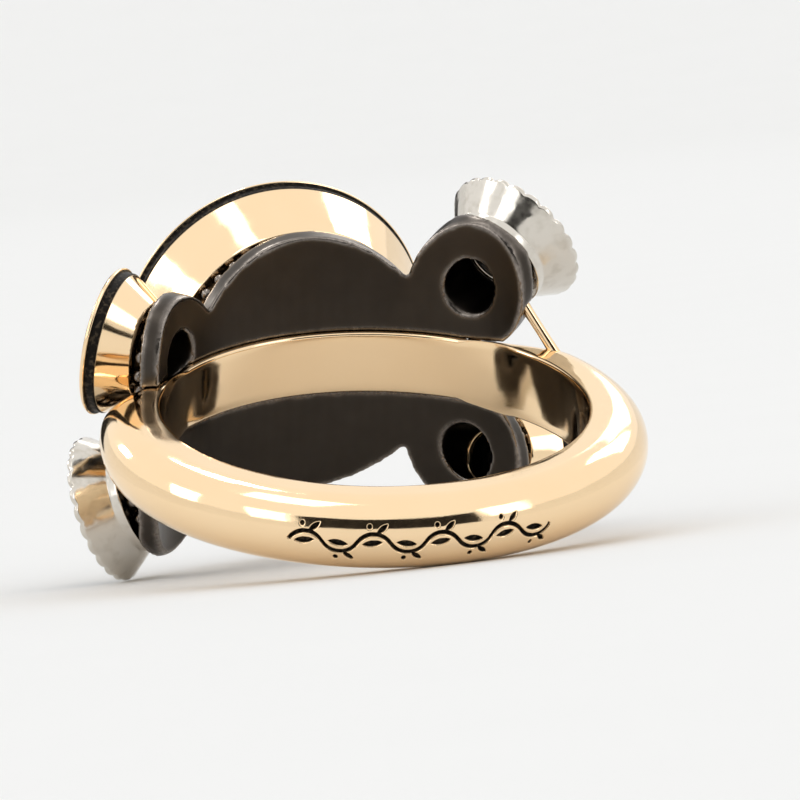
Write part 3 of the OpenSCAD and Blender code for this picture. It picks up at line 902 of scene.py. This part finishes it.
class RING_OT_settings(bpy.types.Operator):
    """Turns the two cups, the two scalloped collets and the centre bezel"""

    bl_idname = "ring.settings"
    bl_label = "Turn the settings"

    def execute(self, context):
        sizes, colours = context.scene.ring_settings, context.scene.ring_finishes
        gold = rose_gold_polished(colours, carved=False)
        white = white_metal_polished(colours)
        small = wall_of(sizes, "rim_radius base_radius height pocket_radius ledge light_hole")
        bezel_names = "bezel_radius bezel_base bezel_height bezel_pocket bezel_ledge light_hole"
        bezel = wall_of(sizes, bezel_names)
        places = {name: world_matrix_of(setting, sizes) for name, setting in SETTINGS.items()}
        # A lobe of the scalloped rim, not a notch, stands on the table
        down = places["lower_left"].to_3x3().transposed() @ Vector((0, 0, -1))
        cup_segments, bezel_segments, scallop_segments = 180, 256, 14
        on_cup = {"Metal": gold, "Segments": cup_segments, **neck_groove(small)}
        on_bezel = {"Metal": gold, "Segments": bezel_segments, **neck_groove(bezel)}
        on_collet = {
            "Metal": white,
            "Segments": sizes.scallops * scallop_segments,
            "Notches": sizes.scallops,
            "Notch depth": sizes.scallop_depth / MM,
            "Notch foot": 0.5,
            "Lobe turn": math.atan2(down.y, down.x),
            "Rim height": small.height,
            "Seat radius": small.pocket + OUTSIDE,
        }
        tree, made = turned_wall_tree(), []
        section = wall_section(small, neck=NECK_DEPTH)
        for node, where in CUPS.items():
            wall = turned_setting(node + "_turned", section, places[where], tree, on_cup)
            made.append((wall, node, "rose_gold"))
        section = wall_section(small, flange=FLANGE)
        for node, where in COLLETS.items():
            wall = turned_setting(node + "_scalloped", section, places[where], tree, on_collet)
            made.append((wall, node, "white_metal"))
        section, place = wall_section(bezel, neck=NECK_DEPTH), centre_matrix(sizes)
        wall = turned_setting("bezel_centre_turned", section, place, tree, on_bezel)
        made.append((wall, "bezel_centre", "rose_gold"))
        for wall, node, slot in made:
            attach(wall, BODY)
            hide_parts(node)
        return {"FINISHED"}


def relaxed(points, edges, rounds):
    """Points moved halfway to the average of their neighbours, a number of times."""
    count = np.bincount(edges.ravel(), minlength=len(points))[:, None]
    for _ in range(rounds):
        total = np.stack(
            [
                np.bincount(edges[:, 0], points[edges[:, 1], k], len(points))
                + np.bincount(edges[:, 1], points[edges[:, 0], k], len(points))
                for k in range(3)
            ],
            axis=1,
        )
        points = (points + total / count) / 2
    return points


class RING_OT_head_frame(bpy.types.Operator):
    """Casts the dark head frame with softened edges"""

    bl_idname = "ring.head_frame"
    bl_label = "Cast the head frame"

    def execute(self, context):
        mesh = frame["nodes"]["head_frame"].data.copy()
        mesh.name = "head_frame_cast"
        close_seams(mesh, 2e-7)
        # The remesher works in millimetres, because its voxels can't be much under 0.1 units
        voxel, softening, surroundings = 0.088, 5, 12
        mesh.transform(Matrix.Scale(1 / MM, 4))
        cast = new_object("head_frame_cast", mesh)
        remesh = cast.modifiers.new("cast_skin", "REMESH")
        remesh.mode = "VOXEL"
        remesh.voxel_size = voxel
        plain_mesh(cast)
        mesh = cast.data
        drop_crumbs(mesh)
        points = np.zeros(len(mesh.vertices) * 3)
        mesh.vertices.foreach_get("co", points)
        edges = np.zeros(len(mesh.edges) * 2, dtype=int)
        mesh.edges.foreach_get("vertices", edges)
        edges = edges.reshape(-1, 2)
        points = relaxed(points.reshape(-1, 3), edges, softening)
        mesh.vertices.foreach_set("co", points.reshape(-1))
        mesh.update()
        # How far each point stands out of its surroundings: where it stands out the metal is rubbed
        # bare, and where it is sunk it is painted black, as patina and painted shade
        normals = np.zeros(len(mesh.vertices) * 3)
        mesh.vertices.foreach_get("normal", normals)
        away = points - relaxed(points, edges, surroundings)
        stands_out = np.sum(away * normals.reshape(-1, 3), axis=1)
        least, span = 0.006, 0.035
        rubbed = mesh.attributes.new("rubbed", "FLOAT", "POINT")
        rubbed.data.foreach_set("value", np.clip((stands_out - least) / span, -1, 1))
        mesh.transform(Matrix.Scale(MM, 4))
        mesh.shade_smooth()
        mesh.materials.clear()
        mesh.materials.append(blackened_silver(context.scene.ring_finishes))
        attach(cast, BODY)
        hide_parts("head_frame")
        return {"FINISHED"}


def bead_tree():
    """Sets a bead on every point of the rows, each a little different in size."""
    tree, given = geometry_tree(
        "bead_rows",
        "Beads",
        {
            "Rows": ("Geometry", None),
            "Bead radius": ("Float", 0.25 * MM),
            "Size variation": ("Float", 0.04),
            "Seed": ("Int", 7),
            "Rubbed": ("Float", 0.6),
            "Metal": ("Material", None),
        },
    )
    ball = {"Segments": 20, "Rings": 12, "Radius": given["Bead radius"]}
    bead = add(tree, "GeometryNodeMeshUVSphere", ball)
    wear = {"Geometry": bead, "Name": "rubbed", "Value": given["Rubbed"]}
    worn = add(tree, "GeometryNodeStoreNamedAttribute", wear, data_type="FLOAT", domain="POINT")
    least = add(tree, "ShaderNodeMath", {0: 1.0, 1: given["Size variation"]}, operation="SUBTRACT")
    sizes = {2: least, 3: 1.0, "Seed": given["Seed"]}
    size = add(tree, "FunctionNodeRandomValue", sizes, data_type="FLOAT")
    set_beads = {"Points": given["Rows"], "Instance": worn, "Scale": size}
    beads = add(tree, "GeometryNodeInstanceOnPoints", set_beads)
    finish_tree(tree, beads, given["Metal"])
    return tree


class RING_OT_beads(bpy.types.Operator):
    """Sets a row of beads round the post under each setting"""

    bl_idname = "ring.beads"
    bl_label = "Set the beads"

    def execute(self, context):
        sizes, colours = context.scene.ring_settings, context.scene.ring_finishes
        rows = [(world_matrix_of(setting, sizes), sizes.small_row) for setting in SETTINGS.values()]
        rows.append((centre_matrix(sizes), sizes.centre_row))
        points = []
        for place, radius in rows:
            count = int(2 * math.pi * radius / sizes.bead_step)
            for k in range(count):
                a = 2 * math.pi * k / count
                bead = Vector((radius * math.cos(a), radius * math.sin(a), -sizes.bead_drop))
                points.append(place @ bead)
        mesh = bpy.data.meshes.new("bead_rows")
        mesh.from_pydata(points, [], [])
        beads = new_object("bead_rows", mesh)
        metal = blackened_silver(colours)
        run_tree(beads, bead_tree(), {"Bead radius": sizes.bead_radius, "Metal": metal})
        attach(beads, BODY)
        return {"FINISHED"}


class RING_OT_stones(bpy.types.Operator):
    """Laps every cut stone, with the finest rounding on its facet edges"""

    bl_idname = "ring.stones"
    bl_label = "Lap the stones"

    def execute(self, context):
        material = black_diamond(context.scene.ring_finishes)
        same_facet, edge_width = math.radians(0.6), 0.014 * MM
        for name, stone in sorted(frame["nodes"].items()):
            if not name.startswith("stone_"):
                continue
            mesh = stone.data.copy()
            mesh.name = name + "_lapped"
            bm = bmesh.new()
            bm.from_mesh(mesh)
            bmesh.ops.remove_doubles(bm, verts=bm.verts, dist=2e-7)
            bmesh.ops.dissolve_limit(bm, angle_limit=same_facet, verts=bm.verts, edges=bm.edges)
            bmesh.ops.bevel(
                bm,
                geom=bm.edges,
                offset=edge_width,
                offset_type="OFFSET",
                segments=2,
                profile=0.6,
                affect="EDGES",
                clamp_overlap=True,
            )
            bm.to_mesh(mesh)
            bm.free()
            mesh.materials.clear()
            mesh.materials.append(material)
            mesh.shade_smooth()
            lapped = new_object(name + "_lapped", mesh)
            lapped.modifiers.new("flat_facets", "WEIGHTED_NORMAL").weight = 100
            plain_mesh(lapped)
            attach(lapped, BODY)
            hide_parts(name)
        return {"FINISHED"}


def sweep_bowl(material):
    """A round studio sweep: a flat floor that curves up into a wall on every side."""
    flat, bend, wall, segments, bend_steps = 2.4, 0.8, 0.2, 96, 16
    profile = [(0.05, 0.0), (0.3, 0.0), (1.0, 0.0), (flat, 0.0)]
    for k in range(1, bend_steps + 1):
        a = math.pi / 2 * k / bend_steps
        profile.append((flat + bend * math.sin(a), bend * (1 - math.cos(a))))
    profile.append((flat + bend, bend + wall))
    turns = [2 * math.pi * k / segments for k in range(segments)]
    vertices = [(r * math.cos(a), r * math.sin(a), z) for r, z in profile for a in turns]
    faces = strips(len(profile), segments, ring=True)
    # The innermost ring is closed by a fan round a last vertex
    centre = len(vertices)
    vertices.append((0, 0, 0))
    faces += [(centre, k, (k + 1) % segments) for k in range(segments)]
    return smooth_object("studio_sweep", vertices, faces, material)


def around(centre, turn, rise, distance):
    """The place at a turn from the ring's back (the right is positive) and a rise, in degrees."""
    turn, rise = math.radians(turn), math.radians(rise)
    way = (math.sin(turn) * math.cos(rise), -math.cos(turn) * math.cos(rise), math.sin(rise))
    return centre + Vector(way) * distance


def black_flag(name, centre, turns, material, steps=24):
    """A curved black card round a centre, between two turns in degrees. Only reflections show
    it: the camera doesn't see it and it casts no shadow on the floor."""
    low, high = CARD_RISES
    vertices = [
        around(
            centre,
            turns[0] + (turns[1] - turns[0]) * i / steps,
            low + (high - low) * j / steps,
            CARD_DISTANCE,
        )
        for j in range(steps + 1)
        for i in range(steps + 1)
    ]
    card = smooth_object(name, vertices, strips(steps + 1, steps + 1, ring=False), material)
    card.visible_camera = card.visible_diffuse = card.visible_shadow = False
    return card


def softbox(name, centre, lamp):
    """A soft lamp that faces a centre. It makes highlights only, because the floor is lit evenly
    by the air."""
    light = bpy.data.lights.new(name, "AREA")
    light.shape, light.size, light.size_y = "RECTANGLE", lamp.width, lamp.height
    light.energy = math.pi * lamp.width * lamp.height * lamp.brightness
    obj = new_object(name, light)
    place = around(centre, lamp.turn, lamp.rise, LAMP_DISTANCE)
    facing = (centre - place).to_track_quat("-Z", "Y").to_matrix().to_4x4()
    obj.matrix_world = Matrix.Translation(place) @ facing
    obj.visible_diffuse = False


def photo_camera(target):
    """The photograph's camera, brought up to just above the floor: 350 mm away, 18 degrees to
    the left of the band's back, rolled so that the band looks as level as there."""
    turn, rise, roll, distance = -18, 2, math.radians(6), 0.35
    focal_px, side_px, centre_px = 9100, 800, (374, 440)
    out = around(Vector(), turn, rise, 1.0)
    level = (-out).cross(Vector((0, 0, 1))).normalized()
    upright = level.cross(-out)
    right = level * math.cos(roll) - upright * math.sin(roll)
    up = level * math.sin(roll) + upright * math.cos(roll)
    # Turned aside so that the target shows at its place in the photograph's frame
    aside = right * ((centre_px[0] - side_px / 2) / focal_px)
    aside += up * ((side_px / 2 - centre_px[1]) / focal_px)
    aim = (-out - aside).normalized()
    right = aim.cross(up).normalized()
    up = right.cross(aim)
    camera = bpy.data.cameras.new("camera")
    camera.sensor_width = 36.0
    camera.lens = focal_px / side_px * camera.sensor_width
    camera.clip_start, camera.clip_end = 0.01, 10.0
    obj = new_object("camera", camera)
    facing = Matrix((right, up, -aim)).transposed().to_4x4()
    obj.matrix_world = Matrix.Translation(target + out * distance) @ facing
    return obj


class RING_OT_studio(bpy.types.Operator):
    """Sets up the pale sweep, the soft light and the camera"""

    bl_idname = "ring.studio"
    bl_label = "Set up the studio"

    def execute(self, context):
        scene, colours = context.scene, context.scene.ring_finishes
        sweep_bowl(painted_floor(colours))
        scene.world = bpy.data.worlds.new("studio_air")
        scene.world.use_nodes = True
        air = scene.world.node_tree.nodes["Background"]
        air.inputs["Color"].default_value = linear(colours.air)
        air.inputs["Strength"].default_value = AIR_STRENGTH
        for name, lamp in LAMPS.items():
            softbox(name, HOLE_CENTRE, lamp)
        black = matt_black_card(colours)
        for name, turns in CARDS.items():
            black_flag("black_flag_" + name, HOLE_CENTRE, turns, black)
        scene.view_settings.view_transform = "Standard"
        scene.camera = photo_camera(HOLE_CENTRE)
        return {"FINISHED"}


GROUPS = {"ring_band": BandSizes, "ring_settings": SettingSizes, "ring_finishes": Finishes}
STEPS = (
    RING_OT_studio,
    RING_OT_band,
    RING_OT_settings,
    RING_OT_head_frame,
    RING_OT_beads,
    RING_OT_stones,
)


class RING_PT_panel(bpy.types.Panel):
    """Lists the steps that build the ring"""

    bl_idname = "RING_PT_panel"
    bl_label = "Cluster ring"
    bl_space_type = "VIEW_3D"
    bl_region_type = "UI"
    bl_category = "Cluster ring"

    def draw(self, context):
        for step in STEPS:
            self.layout.operator(step.bl_idname)
        for group in GROUPS:
            box = self.layout.box()
            values = getattr(context.scene, group)
            for name in values.bl_rna.properties.keys():
                if name not in ("rna_type", "name"):
                    box.prop(values, name)


def register():
    for name, group in GROUPS.items():
        bpy.utils.register_class(group)
        setattr(bpy.types.Scene, name, bpy.props.PointerProperty(type=group))
    for step in (*STEPS, RING_PT_panel):
        bpy.utils.register_class(step)


def unregister():
    for step in (RING_PT_panel, *reversed(STEPS)):
        bpy.utils.unregister_class(step)
    for name, group in GROUPS.items():
        delattr(bpy.types.Scene, name)
        bpy.utils.unregister_class(group)


def main():
    register()
    bpy.ops.ring.studio()
    bpy.ops.ring.band()
    bpy.ops.ring.settings()
    bpy.ops.ring.head_frame()
    bpy.ops.ring.beads()
    bpy.ops.ring.stones()


if __name__ == "__main__":
    main()
